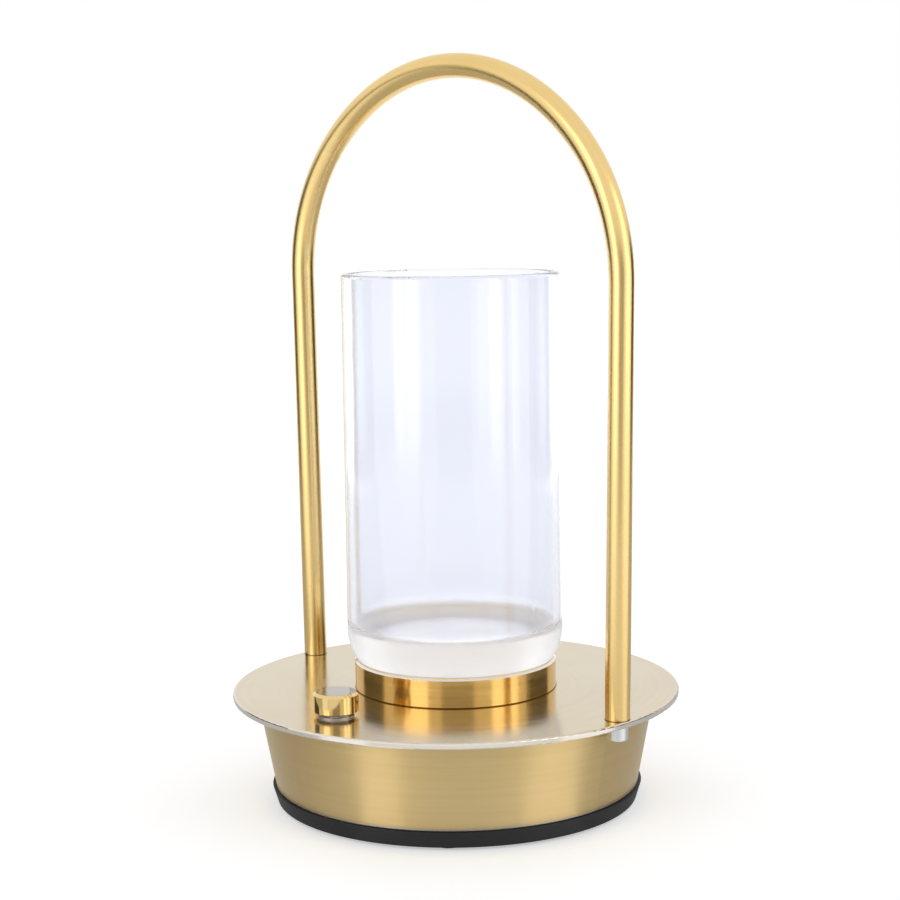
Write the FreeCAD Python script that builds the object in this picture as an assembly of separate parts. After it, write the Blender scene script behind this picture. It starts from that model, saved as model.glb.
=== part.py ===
import FreeCAD, Part
import math
import os

# Lantern table lamp. A thick-bottomed glass stands in a brass collar on a round
# plate, over a tapered drum with a rubber base ring. One bent tube arches over
# the glass as the handle. A rechargeable battery, its board and a push-and-turn
# dimmer are in the drum.
#
# Millimetres. +Z is up and Z = 0 is the face of the foot pads. The handle lies
# in the XZ plane, the dimmer knob is at the front (-Y), the charging socket at
# the back (+Y).

Vector = FreeCAD.Vector
UP = Vector(0, 0, 1)
BACK = Vector(0, 1, 0)

# ---- driving dimensions -------------------------------------------------

overall_height = 248.0

# plate and drum
plate_radius = 75.0
plate_thickness = 2.0
plate_edge_round = 0.5
drum_height = 30.0
plate_overhang = 8.2
drum_taper = 5.6
drum_wall = 1.0
drum_flange_width = 16.8
drum_edge_chamfer = 0.4

# base ring and foot pads
base_ring_height = 5.2
base_ring_overhang = 1.2
base_ring_draft = 1.6
base_ring_width = 14.2
foot_pad_radius = 5.0
foot_pad_proud = 0.8
foot_pad_edge_round = 0.3
fixing_inset = 7.2
fixing_first_angle = -49.0
fixing_count = 4

# handle
handle_tube_radius = 4.0
handle_tube_wall = 1.0
handle_foot_inset = 4.6
handle_splay = 2.2
handle_shoulder_inset = 7.6
handle_crown_drop = 6.8
handle_insert_length = 12.0
handle_screw_head_radius = 3.35
handle_screw_head_height = 4.6
handle_screw_radius = 1.95
handle_screw_length = 10.0
handle_screw_socket_flats = 3.0
handle_screw_socket_depth = 2.0
handle_screw_edge_round = 0.5

# collar, glass and light
collar_outer_radius = 33.9
collar_height = 9.8
collar_wall = 2.3
collar_base_wall = 5.5
collar_ledge_height = 4.2
collar_top_chamfer = 0.7
collar_bottom_chamfer = 0.35
collar_screw_count = 3
collar_screw_radius = 1.2
collar_screw_grip = 3.0
glass_outer_radius = 36.2
glass_wall = 2.6
glass_top_height = 177.0
glass_floor_thickness = 10.2
glass_heel_radius = 33.2
glass_heel_height = 10.0
glass_inner_corner_radius = 3.0
glass_over_collar_gap = 0.4
gasket_thickness = 0.8
gasket_width = 5.0
diffuser_thickness = 2.0
led_board_thickness = 1.6
led_board_margin = 0.8
led_circle_inset = 8.6
led_count = 12
led_length = 3.5
led_width = 2.8
led_height = 0.8
led_screw_inset = 4.6

# dimmer
knob_radius = 7.25
knob_height = 6.5
knob_float = 1.5
knob_inset = 19.8
knob_wall = 0.95
knob_top_chamfer = 0.9
knob_bottom_chamfer = 0.25
knob_roof = 1.2
press_travel = 0.5
encoder_shaft_radius = 3.0
encoder_flat_depth = 1.5
encoder_rotor_radius = 4.2
encoder_rotor_height = 1.5
encoder_body_side = 12.0
encoder_body_height = 6.0
encoder_plate_thickness = 0.5
encoder_bush_radius = 3.5
encoder_bush_height = 5.0
encoder_nut_flats = 10.0
encoder_nut_height = 2.0
encoder_washer_radius = 5.9
encoder_washer_thickness = 0.5
encoder_floor = 0.8
plunger_height = 1.0
dome_pressed_height = 0.6
dome_radius = 3.5
dome_skin = 0.2

# electronics in the drum
bottom_plate_thickness = 3.0
battery_radius = 9.2
battery_length = 65.0
battery_pitch = 20.6
battery_centre_y = -5.5
holder_floor = 1.5
holder_wall = 1.5
holder_wall_height = 12.0
holder_screw_offset = 16.25
contact_side = 9.0
contact_thickness = 0.7
board_length = 31.0
board_width = 38.0
board_thickness = 1.6
board_spacer_height = 4.0
board_spacer_radius = 2.6
board_edge_to_hole = 3.2
plug_to_board_edge = 1.6
driver_chip_side = 7.0
driver_chip_height = 1.2
driver_chip_offset = 7.0
power_coil_side = 10.0
power_coil_height = 4.8
power_coil_offset = 5.0
power_coil_corner = 2.0
lead_plug_width = 6.0
lead_plug_depth = 6.0
lead_plug_height = 4.6
lead_plug_pitch = 10.0
lead_radius = 1.0
lead_bend_share = 0.45
lead_clearance = 6.0
wire_hole_to_holder = 3.0
grommet_wall = 2.2
grommet_flange = 0.8
socket_width = 8.94
socket_height = 3.26
socket_length = 7.3
socket_shell = 0.3
socket_tongue_width = 6.7
socket_tongue_thickness = 0.7
socket_tongue_setback = 1.5
socket_overhang = 4.0
socket_setback = 0.6
bezel_rim = 1.4
bezel_wall = 1.0
bezel_proud = 0.6

# small screws (M2.5) and the M3 stud, pillar and bottom screw
small_screw_radius = 1.2
small_head_radius = 2.25
small_head_height = 1.6
stud_radius = 1.45
stud_length = 6.5
pillar_flats = 5.5
bottom_screw_length = 9.0
bottom_head_radius = 2.8
bottom_head_height = 2.2
slot_width = 0.6
slot_depth = 0.7

# clearances
thread_gap = 0.05
bond_gap = 0.05
glass_seat_gap = 0.2
running_gap = 0.05
hole_gap = 0.25
seat_gap = 0.3

# ---- heights and places worked out from them ------------------------------

ring_bottom = foot_pad_proud
drum_bottom = ring_bottom + base_ring_height
plate_bottom = drum_bottom + drum_height
plate_top = plate_bottom + plate_thickness
drum_top_radius = plate_radius - plate_overhang
drum_bottom_radius = drum_top_radius - drum_taper
drum_flange_inner_radius = drum_top_radius - drum_flange_width
base_ring_inner_radius = drum_bottom_radius - base_ring_width
fixing_circle_radius = drum_bottom_radius - fixing_inset
knob_offset = plate_radius - knob_inset
floor_top = drum_bottom + bottom_plate_thickness

collar_top = plate_top + collar_height
collar_ledge = plate_top + collar_ledge_height
collar_inner_radius = collar_outer_radius - collar_wall
collar_base_radius = collar_outer_radius - collar_base_wall
collar_screw_circle = collar_outer_radius - collar_base_wall / 2
gasket_bottom = collar_ledge + diffuser_thickness
glass_foot_bottom = gasket_bottom + gasket_thickness
glass_foot_radius = collar_inner_radius - glass_seat_gap
glass_shoulder = collar_top + glass_over_collar_gap
glass_floor = glass_shoulder + glass_floor_thickness
glass_inner_radius = glass_outer_radius - glass_wall
led_board_radius = collar_base_radius - led_board_margin
led_board_top = plate_top + led_board_thickness
led_circle_radius = led_board_radius - led_circle_inset
led_screw_offset = led_board_radius - led_screw_inset

handle_foot_radius = plate_radius - handle_foot_inset
handle_half_width = handle_foot_radius + handle_splay
handle_shoulder_radius = handle_half_width - handle_shoulder_inset
handle_crown_radius = handle_shoulder_radius + math.hypot(handle_shoulder_inset, handle_crown_drop)
handle_crown = overall_height - handle_tube_radius
handle_shoulder_height = handle_crown - handle_crown_radius + handle_crown_drop
handle_bore_radius = handle_tube_radius - handle_tube_wall

knob_bottom = plate_top + knob_float
knob_top = knob_bottom + knob_height
shaft_top = knob_top - knob_roof - bond_gap
encoder_bush_bore = encoder_shaft_radius + running_gap
encoder_body_top = plate_bottom - encoder_plate_thickness
encoder_body_bottom = encoder_body_top - encoder_body_height
dome_height = dome_pressed_height + press_travel
dome_bottom = encoder_body_bottom + encoder_floor
plunger_bottom = dome_bottom + dome_height
plunger_top = plunger_bottom + plunger_height
rotor_top = encoder_body_top - running_gap
encoder_cavity_radius = encoder_rotor_radius + seat_gap
plunger_radius = encoder_cavity_radius - running_gap
bush_top = plate_bottom + encoder_bush_height
knob_recess_top = bush_top + press_travel + seat_gap
dimmer_point = (0.0, -knob_offset)

pillar_top = plate_bottom - drum_wall
battery_axis_height = floor_top + holder_floor + battery_radius
holder_length = battery_length + 2 * (contact_thickness + holder_wall)
holder_width = battery_pitch + 2 * (battery_radius + holder_wall)
wire_hole_offset = battery_centre_y + holder_width / 2 + wire_hole_to_holder
board_bottom = floor_top + board_spacer_height
board_top = board_bottom + board_thickness
socket_centre_height = board_top + socket_height / 2


def drum_outer_radius(height):
    share = (height - drum_bottom) / drum_height
    return drum_bottom_radius + share * (drum_top_radius - drum_bottom_radius)


drum_inner_at_socket = drum_outer_radius(socket_centre_height) - drum_wall
socket_front = math.sqrt(drum_inner_at_socket ** 2 - (socket_width / 2) ** 2) - socket_setback
board_back = socket_front - socket_overhang
board_front = board_back - board_length
plug_front = board_front + plug_to_board_edge
plug_centre_height = board_top + lead_plug_height / 2
board_hole_x = board_width / 2 - board_edge_to_hole
board_hole_ys = (board_back - board_edge_to_hole, plug_front + lead_plug_depth + board_edge_to_hole)


# ---- small makers ---------------------------------------------------------

def disc(radius, bottom, height, x=0.0, y=0.0):
    return Part.makeCylinder(radius, height, Vector(x, y, bottom), UP)


def ring(outer, inner, bottom, height, x=0.0, y=0.0):
    return disc(outer, bottom, height, x, y).cut(disc(inner, bottom, height, x, y))


def block(width, depth, height, x, y, bottom):
    corner = Vector(x - width / 2, y - depth / 2, bottom)
    return Part.makeBox(width, depth, height, corner)


def polar(radius, degrees):
    angle = math.radians(degrees)
    return radius * math.cos(angle), radius * math.sin(angle)


def evenly(count, first=0.0):
    return [first + 360.0 * step / count for step in range(count)]


def hexagon(flats, bottom, height, x, y):
    corners = [polar(flats / math.sqrt(3), 60 * step) for step in range(7)]
    outline = Part.makePolygon([Vector(x + cx, y + cy, bottom) for cx, cy in corners])
    return Part.Face(outline).extrude(Vector(0, 0, height))


def turned(edges):
    profile = Part.Face(Part.Wire(edges))
    return profile.revolve(Vector(0, 0, 0), UP, 360)


def section(radius, height):
    return Vector(radius, 0, height)


def line(start, end):
    return Part.LineSegment(start, end).toShape()


def arc(start, through, end):
    return Part.Arc(start, through, end).toShape()


def turned_polygon(corners):
    points = [section(radius, height) for radius, height in corners]
    edges = [line(a, b) for a, b in zip(points, points[1:] + points[:1])]
    return turned(edges)


def edges_at(shape, height, radius, centre=(0.0, 0.0)):
    found = []
    for edge in shape.Edges:
        curve = edge.Curve
        if not isinstance(curve, Part.Circle):
            continue
        offset = math.hypot(curve.Center.x - centre[0], curve.Center.y - centre[1])
        if abs(curve.Radius - radius) + abs(curve.Center.z - height) + offset < 0.001:
            found.append(edge)
    return found


def group(solids):
    return Part.makeCompound(solids)


def screw(x, y, seat, points_up, radius, length, head_radius, head_height):
    """A slotted pan screw whose head bears on the seat height."""
    if points_up:
        head = disc(head_radius, seat - head_height, head_height, x, y)
        shank = disc(radius, seat, length, x, y)
        slot = block(2 * head_radius, slot_width, slot_depth, x, y, seat - head_height)
    else:
        head = disc(head_radius, seat, head_height, x, y)
        shank = disc(radius, seat - length, length, x, y)
        slot = block(2 * head_radius, slot_width, slot_depth, x, y, seat + head_height - slot_depth)
    return head.fuse(shank).removeSplitter().cut(slot)


def oval_bar(width, height, start, length, centre_height):
    """A bar along +Y with a stadium section, as wide as width and as tall as height."""
    end_radius = height / 2
    half_flat = width / 2 - end_radius
    bar = Part.makeBox(2 * half_flat, length, height, Vector(-half_flat, start, centre_height - end_radius))
    for x in (-half_flat, half_flat):
        bar = bar.fuse(Part.makeCylinder(end_radius, length, Vector(x, start, centre_height), BACK))
    return bar.removeSplitter()


def routed_edges(points):
    """Straight runs joined by tangent arcs, each arc as large as its runs allow."""
    edges = []
    here = points[0]
    for before, corner, after in zip(points, points[1:], points[2:]):
        come = (corner - before).normalize()
        leave = (after - corner).normalize()
        half_turn = come.getAngle(leave) / 2
        trim = lead_bend_share * min(before.distanceToPoint(corner), corner.distanceToPoint(after))
        radius = trim / math.tan(half_turn)
        inward = (leave - come).normalize()
        start = corner - come * trim
        middle = corner + inward * (radius / math.cos(half_turn) - radius)
        end = corner + leave * trim
        edges.append(line(here, start))
        edges.append(arc(start, middle, end))
        here = end
    edges.append(line(here, points[-1]))
    return edges


def swept_tube(edges, radius):
    path = Part.Wire(edges)
    start = edges[0].Vertexes[0].Point
    direction = edges[0].tangentAt(edges[0].FirstParameter)
    outline = Part.Wire([Part.makeCircle(radius, start, direction)])
    return path.makePipeShell([outline], True, False)


# ---- base -----------------------------------------------------------------

def fixing_points():
    return [polar(fixing_circle_radius, angle) for angle in evenly(fixing_count, fixing_first_angle)]


def collar_screw_points():
    return [polar(collar_screw_circle, angle) for angle in evenly(collar_screw_count, 90.0)]


def handle_foot_points():
    return [(-handle_foot_radius, 0.0), (handle_foot_radius, 0.0)]


def led_screw_points():
    return [(-led_screw_offset, 0.0), (led_screw_offset, 0.0)]


def make_top_plate():
    plate = disc(plate_radius, plate_bottom, plate_thickness)
    rims = edges_at(plate, plate_top, plate_radius) + edges_at(plate, plate_bottom, plate_radius)
    plate = plate.makeFillet(plate_edge_round, rims)
    holes = []
    for x, y in handle_foot_points():
        holes.append((handle_screw_radius + hole_gap, x, y))
    for x, y in collar_screw_points():
        holes.append((collar_screw_radius + hole_gap, x, y))
    for x, y in led_screw_points():
        holes.append((small_screw_radius + thread_gap, x, y))
    holes.append((encoder_bush_radius + bond_gap, *dimmer_point))
    holes.append((lead_radius + grommet_wall + bond_gap, 0.0, wire_hole_offset))
    for radius, x, y in holes:
        plate = plate.cut(disc(radius, plate_bottom, plate_thickness, x, y))
    return plate


def make_plate_studs():
    stud_end = plate_bottom - stud_length
    return group([disc(stud_radius, stud_end, stud_length, x, y) for x, y in fixing_points()])


def make_base_drum():
    inner_top = drum_outer_radius(plate_bottom - drum_wall) - drum_wall
    drum = turned_polygon([
        (drum_bottom_radius - drum_edge_chamfer, drum_bottom),
        (drum_outer_radius(drum_bottom + drum_edge_chamfer), drum_bottom + drum_edge_chamfer),
        (drum_top_radius, plate_bottom),
        (drum_flange_inner_radius, plate_bottom),
        (drum_flange_inner_radius, plate_bottom - drum_wall),
        (inner_top, plate_bottom - drum_wall),
        (drum_bottom_radius - drum_wall, drum_bottom),
    ])
    for x, y in fixing_points():
        drum = drum.cut(disc(stud_radius + hole_gap, pillar_top, drum_wall, x, y))
    notch_side = encoder_body_side + 2 * seat_gap
    drum = drum.cut(block(notch_side, notch_side, drum_wall, *dimmer_point, pillar_top))
    window = oval_bar(socket_width + 2 * (bezel_wall + bond_gap), socket_height + 2 * (bezel_wall + bond_gap),
                      socket_front, drum_bottom_radius, socket_centre_height)
    return drum.cut(window)


def make_stand_offs():
    height = pillar_top - floor_top
    pillars = []
    for x, y in fixing_points():
        pillar = hexagon(pillar_flats, floor_top, height, x, y)
        pillar = pillar.cut(disc(stud_radius + thread_gap, pillar_top - stud_length, stud_length, x, y))
        pillar = pillar.cut(disc(stud_radius + thread_gap, floor_top, bottom_screw_length, x, y))
        pillars.append(pillar)
    return group(pillars)


def make_bottom_plate():
    radius = drum_bottom_radius - drum_wall - seat_gap
    plate = disc(radius, drum_bottom, bottom_plate_thickness)
    for x, y in fixing_points():
        plate = plate.cut(disc(stud_radius + hole_gap, drum_bottom, bottom_plate_thickness, x, y))
    for x, y in board_hole_points() + holder_screw_points():
        plate = plate.cut(disc(small_screw_radius + thread_gap, drum_bottom, bottom_plate_thickness, x, y))
    return plate


def make_bottom_screws():
    screws = [screw(x, y, drum_bottom, True, stud_radius, bottom_screw_length, bottom_head_radius,
                    bottom_head_height) for x, y in fixing_points()]
    return group(screws)


def make_rubber_foot_ring():
    top_radius = drum_bottom_radius + base_ring_overhang
    rubber = turned_polygon([
        (base_ring_inner_radius, ring_bottom),
        (top_radius - base_ring_draft, ring_bottom),
        (top_radius, drum_bottom),
        (base_ring_inner_radius, drum_bottom),
    ])
    lower_edge = edges_at(rubber, ring_bottom, top_radius - base_ring_draft)
    rubber = rubber.makeFillet(foot_pad_edge_round, lower_edge)
    for x, y in fixing_points():
        rubber = rubber.cut(disc(bottom_head_radius + hole_gap, ring_bottom, base_ring_height, x, y))
    return rubber


def make_foot_pads():
    pads = []
    for x, y in fixing_points():
        pad = disc(foot_pad_radius, 0.0, foot_pad_proud, x, y)
        pads.append(pad.makeFillet(foot_pad_edge_round, edges_at(pad, 0.0, foot_pad_radius, (x, y))))
    return group(pads)


# ---- handle -----------------------------------------------------------------

def handle_edges():
    """The tube's centre line: leaning legs, two shoulder arcs and a crown arc."""
    foot_run = handle_foot_radius - handle_shoulder_inset
    foot_drop = handle_shoulder_height - plate_top
    join_angle = math.atan2(handle_crown_drop, handle_shoulder_inset)
    to_centre = math.hypot(foot_run, foot_drop)
    inward = math.atan2(foot_run, foot_drop)
    lean = math.asin(handle_shoulder_radius / to_centre) - inward

    def on_shoulder(angle):
        x = handle_shoulder_inset + handle_shoulder_radius * math.cos(angle)
        return Vector(x, 0, handle_shoulder_height + handle_shoulder_radius * math.sin(angle))

    def mirrored(point):
        return Vector(-point.x, point.y, point.z)

    below = Vector(-math.sin(lean), 0, -math.cos(lean)) * handle_tube_radius
    foot = Vector(handle_foot_radius, 0, plate_top) + below
    spring = on_shoulder(-lean)
    shoulder_middle = on_shoulder((join_angle - lean) / 2)
    join = on_shoulder(join_angle)
    crown = Vector(0, 0, handle_crown)
    return [
        line(foot, spring),
        arc(spring, shoulder_middle, join),
        arc(join, crown, mirrored(join)),
        arc(mirrored(join), mirrored(shoulder_middle), mirrored(spring)),
        line(mirrored(spring), mirrored(foot)),
    ]


def below_plate():
    return disc(2 * plate_radius, 0.0, plate_top)


def make_handle_tube():
    edges = handle_edges()
    tube = swept_tube(edges, handle_tube_radius).cut(swept_tube(edges, handle_bore_radius))
    return tube.cut(below_plate())


def make_handle_inserts():
    first = handle_edges()[0]
    start = first.Vertexes[0].Point
    direction = first.tangentAt(first.FirstParameter)
    length = handle_insert_length + handle_tube_radius
    plug = Part.makeCylinder(handle_bore_radius - bond_gap, length, start, direction).cut(below_plate())
    thread_depth = handle_screw_length - plate_thickness + seat_gap
    x, y = handle_foot_points()[1]
    plug = plug.cut(disc(handle_screw_radius + thread_gap, plate_top, thread_depth, x, y))
    return group([plug, plug.mirror(Vector(0, 0, 0), Vector(1, 0, 0))])


def make_handle_screws():
    screws = []
    for x, y in handle_foot_points():
        seat = plate_bottom
        head_bottom = seat - handle_screw_head_height
        head = disc(handle_screw_head_radius, head_bottom, handle_screw_head_height, x, y)
        rim = edges_at(head, head_bottom, handle_screw_head_radius, (x, y))
        head = head.makeFillet(handle_screw_edge_round, rim)
        head = head.cut(hexagon(handle_screw_socket_flats, head_bottom, handle_screw_socket_depth, x, y))
        screws.append(head.fuse(disc(handle_screw_radius, seat, handle_screw_length, x, y)).removeSplitter())
    return group(screws)


# ---- collar, light and glass --------------------------------------------------

def make_glass_collar():
    collar = turned_polygon([
        (collar_base_radius, plate_top),
        (collar_outer_radius - collar_bottom_chamfer, plate_top),
        (collar_outer_radius, plate_top + collar_bottom_chamfer),
        (collar_outer_radius, collar_top - collar_top_chamfer),
        (collar_outer_radius - collar_top_chamfer, collar_top),
        (collar_inner_radius, collar_top),
        (collar_inner_radius, collar_ledge),
        (collar_base_radius, collar_ledge),
    ])
    hole_depth = collar_screw_grip + seat_gap
    for x, y in collar_screw_points():
        collar = collar.cut(disc(collar_screw_radius + thread_gap, plate_top, hole_depth, x, y))
    return collar


def make_collar_screws():
    length = plate_thickness + collar_screw_grip
    screws = [screw(x, y, plate_bottom, True, collar_screw_radius, length, small_head_radius,
                    small_head_height) for x, y in collar_screw_points()]
    return group(screws)


def make_led_board():
    board = disc(led_board_radius, plate_top, led_board_thickness)
    for x, y in led_screw_points():
        board = board.cut(disc(small_screw_radius + hole_gap, plate_top, led_board_thickness, x, y))
    return board.cut(disc(lead_radius + hole_gap, plate_top, led_board_thickness, 0.0, wire_hole_offset))


def make_led_chips():
    chips = []
    for angle in evenly(led_count, 180.0 / led_count):
        chip = block(led_width, led_length, led_height, led_circle_radius, 0.0, led_board_top)
        chip.rotate(Vector(0, 0, 0), UP, angle)
        chips.append(chip)
    return group(chips)


def make_led_board_screws():
    length = led_board_thickness + plate_thickness
    screws = [screw(x, y, led_board_top, False, small_screw_radius, length, small_head_radius,
                    small_head_height) for x, y in led_screw_points()]
    return group(screws)


def make_diffuser_disc():
    return disc(collar_inner_radius - bond_gap, collar_ledge, diffuser_thickness)


def make_glass_gasket():
    return ring(glass_foot_radius, glass_foot_radius - gasket_width, gasket_bottom, gasket_thickness)


def make_glass_cylinder():
    heel_rise = glass_heel_height
    heel_run = glass_outer_radius - glass_heel_radius
    heel_curve = (heel_run ** 2 + heel_rise ** 2) / (2 * heel_run)
    heel_top = glass_shoulder + heel_rise
    heel_half = math.asin(heel_rise / heel_curve) / 2
    heel_middle = section(glass_outer_radius - heel_curve * (1 - math.cos(heel_half)),
                          heel_top - heel_curve * math.sin(heel_half))
    rim_radius = glass_wall / 2
    rim_centre = glass_top_height - rim_radius
    corner = glass_inner_corner_radius
    corner_reach = corner * math.sqrt(0.5)
    corner_centre = (glass_inner_radius - corner, glass_floor + corner)
    points = {
        "foot_axis": section(0, glass_foot_bottom),
        "foot_edge": section(glass_foot_radius, glass_foot_bottom),
        "neck": section(glass_foot_radius, glass_shoulder),
        "heel": section(glass_heel_radius, glass_shoulder),
        "side_low": section(glass_outer_radius, heel_top),
        "side_high": section(glass_outer_radius, rim_centre),
        "rim": section(glass_outer_radius - rim_radius, glass_top_height),
        "inside_high": section(glass_inner_radius, rim_centre),
        "inside_low": section(glass_inner_radius, glass_floor + corner),
        "corner": section(corner_centre[0] + corner_reach, corner_centre[1] - corner_reach),
        "floor_edge": section(glass_inner_radius - corner, glass_floor),
        "floor_axis": section(0, glass_floor),
    }
    return turned([
        line(points["foot_axis"], points["foot_edge"]),
        line(points["foot_edge"], points["neck"]),
        line(points["neck"], points["heel"]),
        arc(points["heel"], heel_middle, points["side_low"]),
        line(points["side_low"], points["side_high"]),
        arc(points["side_high"], points["rim"], points["inside_high"]),
        line(points["inside_high"], points["inside_low"]),
        arc(points["inside_low"], points["corner"], points["floor_edge"]),
        line(points["floor_edge"], points["floor_axis"]),
        line(points["floor_axis"], points["foot_axis"]),
    ])


def make_wire_grommet():
    bottom = plate_bottom - grommet_flange
    sleeve_radius = lead_radius + grommet_wall
    sleeve = disc(sleeve_radius, plate_bottom, plate_thickness, 0.0, wire_hole_offset)
    flange = disc(sleeve_radius + grommet_flange, bottom, grommet_flange, 0.0, wire_hole_offset)
    body = sleeve.fuse(flange).removeSplitter()
    height = plate_thickness + grommet_flange
    return body.cut(disc(lead_radius + bond_gap, bottom, height, 0.0, wire_hole_offset))


# ---- dimmer ---------------------------------------------------------------------

def shaft_flat(radius, bottom, height):
    """What a D-shaped section leaves out of a round one, on its back side."""
    flat_y = -knob_offset + radius - encoder_flat_depth
    return Part.makeBox(2 * radius, encoder_flat_depth, height, Vector(-radius, flat_y, bottom))


def make_dimmer_knob():
    x, y = dimmer_point
    knob = disc(knob_radius, knob_bottom, knob_height, x, y)
    knob = knob.makeChamfer(knob_top_chamfer, edges_at(knob, knob_top, knob_radius, (x, y)))
    knob = knob.makeChamfer(knob_bottom_chamfer, edges_at(knob, knob_bottom, knob_radius, (x, y)))
    knob = knob.cut(disc(knob_radius - knob_wall, knob_bottom, knob_recess_top - knob_bottom, x, y))
    bore_radius = encoder_shaft_radius + bond_gap
    bore_height = shaft_top + bond_gap - knob_recess_top
    bore = disc(bore_radius, knob_recess_top, bore_height, x, y)
    return knob.cut(bore.cut(shaft_flat(bore_radius, knob_recess_top, bore_height)))


def make_encoder_shaft():
    x, y = dimmer_point
    shaft = disc(encoder_shaft_radius, plunger_top, shaft_top - plunger_top, x, y)
    shaft = shaft.cut(shaft_flat(encoder_shaft_radius, knob_recess_top, shaft_top - knob_recess_top))
    rotor = disc(encoder_rotor_radius, rotor_top - encoder_rotor_height, encoder_rotor_height, x, y)
    return shaft.fuse(rotor).removeSplitter()


def make_encoder_bushing():
    x, y = dimmer_point
    plate = block(encoder_body_side, encoder_body_side, encoder_plate_thickness, x, y, encoder_body_top)
    bush = disc(encoder_bush_radius, plate_bottom, encoder_bush_height, x, y)
    height = encoder_plate_thickness + encoder_bush_height
    return plate.fuse(bush).removeSplitter().cut(disc(encoder_bush_bore, encoder_body_top, height, x, y))


def make_encoder_body():
    x, y = dimmer_point
    body = block(encoder_body_side, encoder_body_side, encoder_body_height, x, y, encoder_body_bottom)
    return body.cut(disc(encoder_cavity_radius, dome_bottom, encoder_body_top - dome_bottom, x, y))


def make_encoder_washer():
    inner = encoder_bush_radius + bond_gap
    return ring(encoder_washer_radius, inner, plate_top, encoder_washer_thickness, *dimmer_point)


def make_encoder_nut():
    bottom = plate_top + encoder_washer_thickness
    nut = hexagon(encoder_nut_flats, bottom, encoder_nut_height, *dimmer_point)
    hole = disc(encoder_bush_radius + thread_gap, bottom, encoder_nut_height, *dimmer_point)
    return nut.cut(hole)


def make_switch_plunger():
    return disc(plunger_radius, plunger_bottom, plunger_height, *dimmer_point)


def make_switch_dome():
    """A thin sprung cap: the shell between two bowls, open at the bottom."""
    radius = (dome_radius ** 2 + dome_height ** 2) / (2 * dome_height)
    centre = dome_bottom + dome_height - radius
    inner = radius - dome_skin
    inner_foot = math.sqrt(inner ** 2 - (dome_bottom - centre) ** 2)
    half = math.asin(dome_radius / radius) / 2
    outer_middle = section(radius * math.sin(half), centre + radius * math.cos(half))
    inner_half = math.asin(inner_foot / inner) / 2
    inner_middle = section(inner * math.sin(inner_half), centre + inner * math.cos(inner_half))
    dome = turned([
        line(section(0, centre + inner), section(0, centre + radius)),
        arc(section(0, centre + radius), outer_middle, section(dome_radius, dome_bottom)),
        line(section(dome_radius, dome_bottom), section(inner_foot, dome_bottom)),
        arc(section(inner_foot, dome_bottom), inner_middle, section(0, centre + inner)),
    ])
    dome.translate(Vector(*dimmer_point, 0))
    return dome


# ---- battery, board and charging socket ----------------------------------------

def battery_ys():
    return [battery_centre_y - battery_pitch / 2, battery_centre_y + battery_pitch / 2]


def holder_screw_points():
    return [(-holder_screw_offset, battery_centre_y), (holder_screw_offset, battery_centre_y)]


def board_hole_points():
    return [(x, y) for x in (-board_hole_x, board_hole_x) for y in board_hole_ys]


def plug_x(place):
    return place * lead_plug_pitch


def make_battery_holder():
    holder_height = holder_floor + holder_wall_height
    tray = block(holder_length, holder_width, holder_height, 0.0, battery_centre_y, floor_top)
    inside_length = holder_length - 2 * holder_wall
    inside_width = holder_width - 2 * holder_wall
    inside = block(inside_length, inside_width, holder_wall_height, 0.0, battery_centre_y,
                   floor_top + holder_floor)
    tray = tray.cut(inside)
    for x, y in holder_screw_points():
        tray = tray.cut(disc(small_screw_radius + hole_gap, floor_top, holder_floor, x, y))
    return tray


def make_battery_cells():
    cells = []
    for y in battery_ys():
        start = Vector(-battery_length / 2, y, battery_axis_height)
        cells.append(Part.makeCylinder(battery_radius, battery_length, start, Vector(1, 0, 0)))
    return group(cells)


def make_battery_contacts():
    contacts = []
    for side in (-1, 1):
        x = side * (battery_length + contact_thickness) / 2
        for y in battery_ys():
            bottom = battery_axis_height - contact_side / 2
            contacts.append(block(contact_thickness, contact_side, contact_side, x, y, bottom))
    return group(contacts)


def make_holder_screws():
    length = holder_floor + bottom_plate_thickness
    screws = [screw(x, y, floor_top + holder_floor, False, small_screw_radius, length, small_head_radius,
                    small_head_height) for x, y in holder_screw_points()]
    return group(screws)


def make_control_board():
    centre_y = (board_front + board_back) / 2
    board = block(board_width, board_length, board_thickness, 0.0, centre_y, board_bottom)
    for x, y in board_hole_points():
        board = board.cut(disc(small_screw_radius + hole_gap, board_bottom, board_thickness, x, y))
    return board


def make_board_spacers():
    spacers = [ring(board_spacer_radius, small_screw_radius + hole_gap, floor_top, board_spacer_height, x, y)
               for x, y in board_hole_points()]
    return group(spacers)


def make_board_screws():
    length = board_thickness + board_spacer_height + bottom_plate_thickness
    screws = [screw(x, y, board_top, False, small_screw_radius, length, small_head_radius,
                    small_head_height) for x, y in board_hole_points()]
    return group(screws)


def make_driver_chip():
    centre_y = (board_front + board_back) / 2
    side = driver_chip_side
    return block(side, side, driver_chip_height, driver_chip_offset, centre_y, board_top)


def make_power_coil():
    centre_y = (board_front + board_back) / 2
    side = power_coil_side
    coil = block(side, side, power_coil_height, -power_coil_offset, centre_y, board_top)
    upright = [edge for edge in coil.Edges if edge.BoundBox.ZLength > power_coil_height / 2]
    return coil.makeFillet(power_coil_corner, upright)


def make_lead_plugs():
    y = plug_front + lead_plug_depth / 2
    plugs = [block(lead_plug_width, lead_plug_depth, lead_plug_height, plug_x(place), y, board_top)
             for place in (-1, 0, 1)]
    return group(plugs)


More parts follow.
